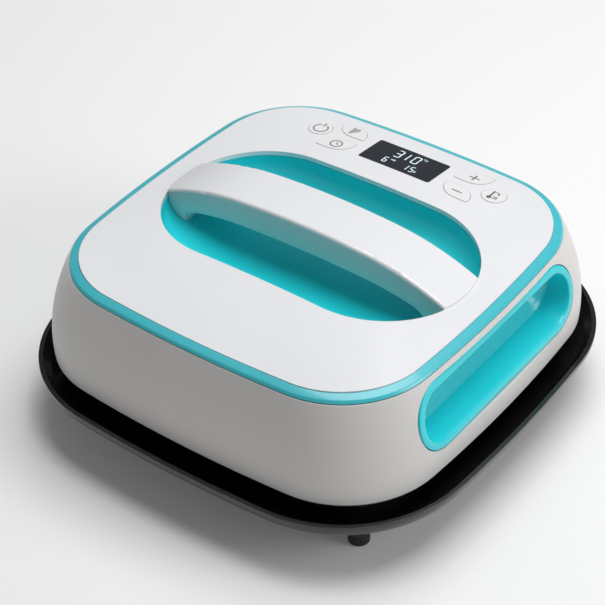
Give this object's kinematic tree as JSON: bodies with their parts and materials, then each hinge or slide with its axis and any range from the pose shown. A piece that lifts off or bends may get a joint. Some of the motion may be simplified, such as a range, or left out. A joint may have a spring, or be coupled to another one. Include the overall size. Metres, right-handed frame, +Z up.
{
  "type": "heat press",
  "caption": "Square hand-held heat press with an arched carrying handle in a deep well, side finger grips, a digital display with push buttons, and a dish-shaped insulated base.",
  "frame": {"origin": "centre of the base, level with the bottom of its four feet", "axes": "+Z up, -Y towards the person using it, with the display at +Y; X runs along the carrying handle"},
  "size_m": [0.3178, 0.3178, 0.139],
  "materials": {
    "gloss_white": "high gloss, piano white",
    "satin_white": "satin moulded",
    "handle_grey": "satin moulded",
    "teal_trim": "satin gloss",
    "teal_liner": "satin gloss",
    "tray_black": "semi-gloss moulded",
    "foot_rubber": "matte",
    "pad_grey": "silicone sheet",
    "frame_black": "glass-filled, matte",
    "button_white": "satin",
    "window_black": "hard-coated, glossy",
    "lcd": "module",
    "board_green": "solder mask",
    "steel": "zinc plated",
    "plate_coated": "non-stick coated casting",
    "mica": "mica sheet",
    "blanket": "ceramic fibre",
    "component_black": "moulded",
    "component_blue": "sleeved",
    "terminal_green": "moulded",
    "heatsink": "extruded"
  },
  "bodies": {
    "base": {"base_tray": "tray_black", "base_platform": "tray_black", "base_pad": "pad_grey", "base_feet": "foot_rubber"},
    "press": {"side_housing": "satin_white", "trim_ring": "teal_trim", "top_cover": "gloss_white", "handle_lower_shell": "handle_grey", "handle_bar": "steel", "handle_screws": "steel", "well_liner": "teal_liner", "display_window": "window_black", "lcd_module": "lcd", "control_board": "board_green", "button_switches": "component_black", "display_spacers": "steel", "buzzer": "component_black", "bottom_frame": "frame_black", "heat_plate": "plate_coated", "heater_sheet": "mica", "insulation_blanket": "blanket", "heat_shield": "steel", "plate_standoffs": "steel", "plate_screws": "steel", "shield_screws": "steel", "housing_screws": "steel", "cover_screws": "steel", "thermistor": "component_black", "thermal_cutoff": "heatsink", "board_posts": "steel", "power_board": "board_green", "board_screws": "steel", "transformer": "component_black", "relay": "component_blue", "triac_heatsink": "heatsink", "filter_capacitor": "component_blue", "terminal_block": "terminal_green", "cord_gland": "frame_black", "right_grip_liner": "teal_liner", "left_grip_liner": "teal_liner"},
    "power_button": {"power_button": "button_white"},
    "unit_button": {"unit_button": "button_white"},
    "timer_button": {"timer_button": "button_white"},
    "level_button": {"level_button": "button_white"},
    "plus_button": {"plus_button": "button_white"},
    "minus_button": {"minus_button": "button_white"}
  },
  "joints": [
    {"name": "press_lift", "type": "slide", "parent": "base", "child": "press", "axis": [0, 0, 1], "range_m": [0, 0.12]},
    {"name": "power_press", "type": "slide", "parent": "press", "child": "power_button", "axis": [0, 0, -1], "range_m": [0, 0.0008], "stiffness_N_per_m": 2000, "springref_m": -0.0004},
    {"name": "unit_press", "type": "slide", "parent": "press", "child": "unit_button", "axis": [0, 0, -1], "range_m": [0, 0.0008], "stiffness_N_per_m": 2000, "springref_m": -0.0004},
    {"name": "timer_press", "type": "slide", "parent": "press", "child": "timer_button", "axis": [0, 0, -1], "range_m": [0, 0.0008], "stiffness_N_per_m": 2000, "springref_m": -0.0004},
    {"name": "level_press", "type": "slide", "parent": "press", "child": "level_button", "axis": [0, 0, -1], "range_m": [0, 0.0008], "stiffness_N_per_m": 2000, "springref_m": -0.0004},
    {"name": "plus_press", "type": "slide", "parent": "press", "child": "plus_button", "axis": [0, 0, -1], "range_m": [0, 0.0008], "stiffness_N_per_m": 2000, "springref_m": -0.0004},
    {"name": "minus_press", "type": "slide", "parent": "press", "child": "minus_button", "axis": [0, 0, -1], "range_m": [0, 0.0008], "stiffness_N_per_m": 2000, "springref_m": -0.0004}
  ]
}
